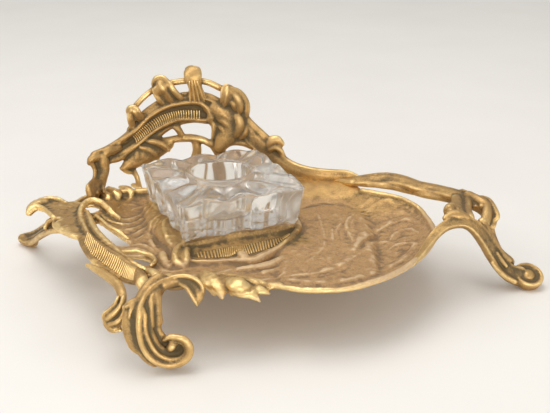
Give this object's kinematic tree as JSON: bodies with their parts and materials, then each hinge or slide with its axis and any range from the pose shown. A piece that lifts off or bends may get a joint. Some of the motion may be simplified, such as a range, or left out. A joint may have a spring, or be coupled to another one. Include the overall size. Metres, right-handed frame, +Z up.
{
  "type": "desk inkstand",
  "caption": "Cast-brass scroll-work inkstand with a shallow pen dish, pierced back gallery, side rail and scroll feet, holding a square pressed-glass inkwell that lifts off its seat.",
  "frame": {"origin": "on the desk plane, under the middle of the stand's bounding box", "axes": "+X along the stand from the inkwell side to the side rail's foot, +Y to its back gallery, +Z up"},
  "size_m": [0.2524, 0.1468, 0.0867],
  "materials": {
    "brass": "aged cast brass, dull golden on the ridges and brown-green in the hollows",
    "glass": "clear pressed glass, thick and slightly wavy"
  },
  "bodies": {
    "stand": {"tray": "brass", "crest": "brass", "side_rail": "brass", "right_foot": "brass", "left_foot": "brass", "front_foot": "brass"},
    "inkwell": {"inkwell": "glass"}
  },
  "joints": [
    {"name": "inkwell_lift", "type": "slide", "parent": "stand", "child": "inkwell", "axis": [0, 0, 1], "range_m": [0, 0.07]}
  ]
}
